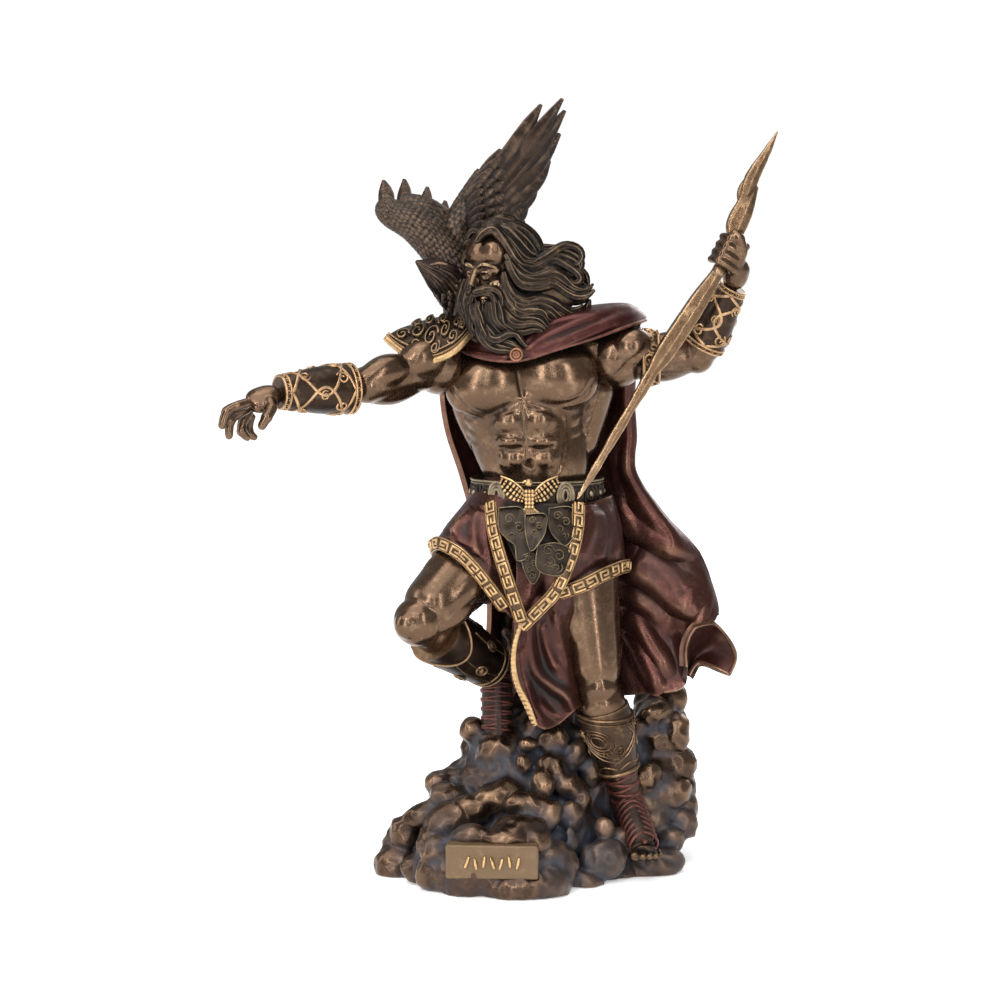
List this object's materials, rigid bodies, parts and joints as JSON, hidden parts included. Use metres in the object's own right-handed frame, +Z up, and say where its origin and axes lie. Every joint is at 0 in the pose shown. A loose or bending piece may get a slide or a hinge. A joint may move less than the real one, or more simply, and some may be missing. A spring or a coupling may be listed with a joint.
{
  "type": "cast figurine of a sky god",
  "caption": "Standing figurine of a bearded sky god with an outstretched hand, an eagle at his shoulder and a lightning bolt in his raised fist, on a bank of cloud.",
  "frame": {"origin": "on the flat underside of the cloud base, below the waist of the figure", "axes": "+Z up, the figure faces -Y, +X towards the raised hand that holds the bolt"},
  "size_m": [0.2085, 0.1081, 0.302],
  "materials": {
    "antique_bronze": "dark antique bronze, rubbed bright on the high places",
    "pale_bronze": "pale gold bronze, satin"
  },
  "bodies": {
    "root": {"statue": "antique_bronze", "thunderbolt": "pale_bronze"}
  },
  "joints": []
}
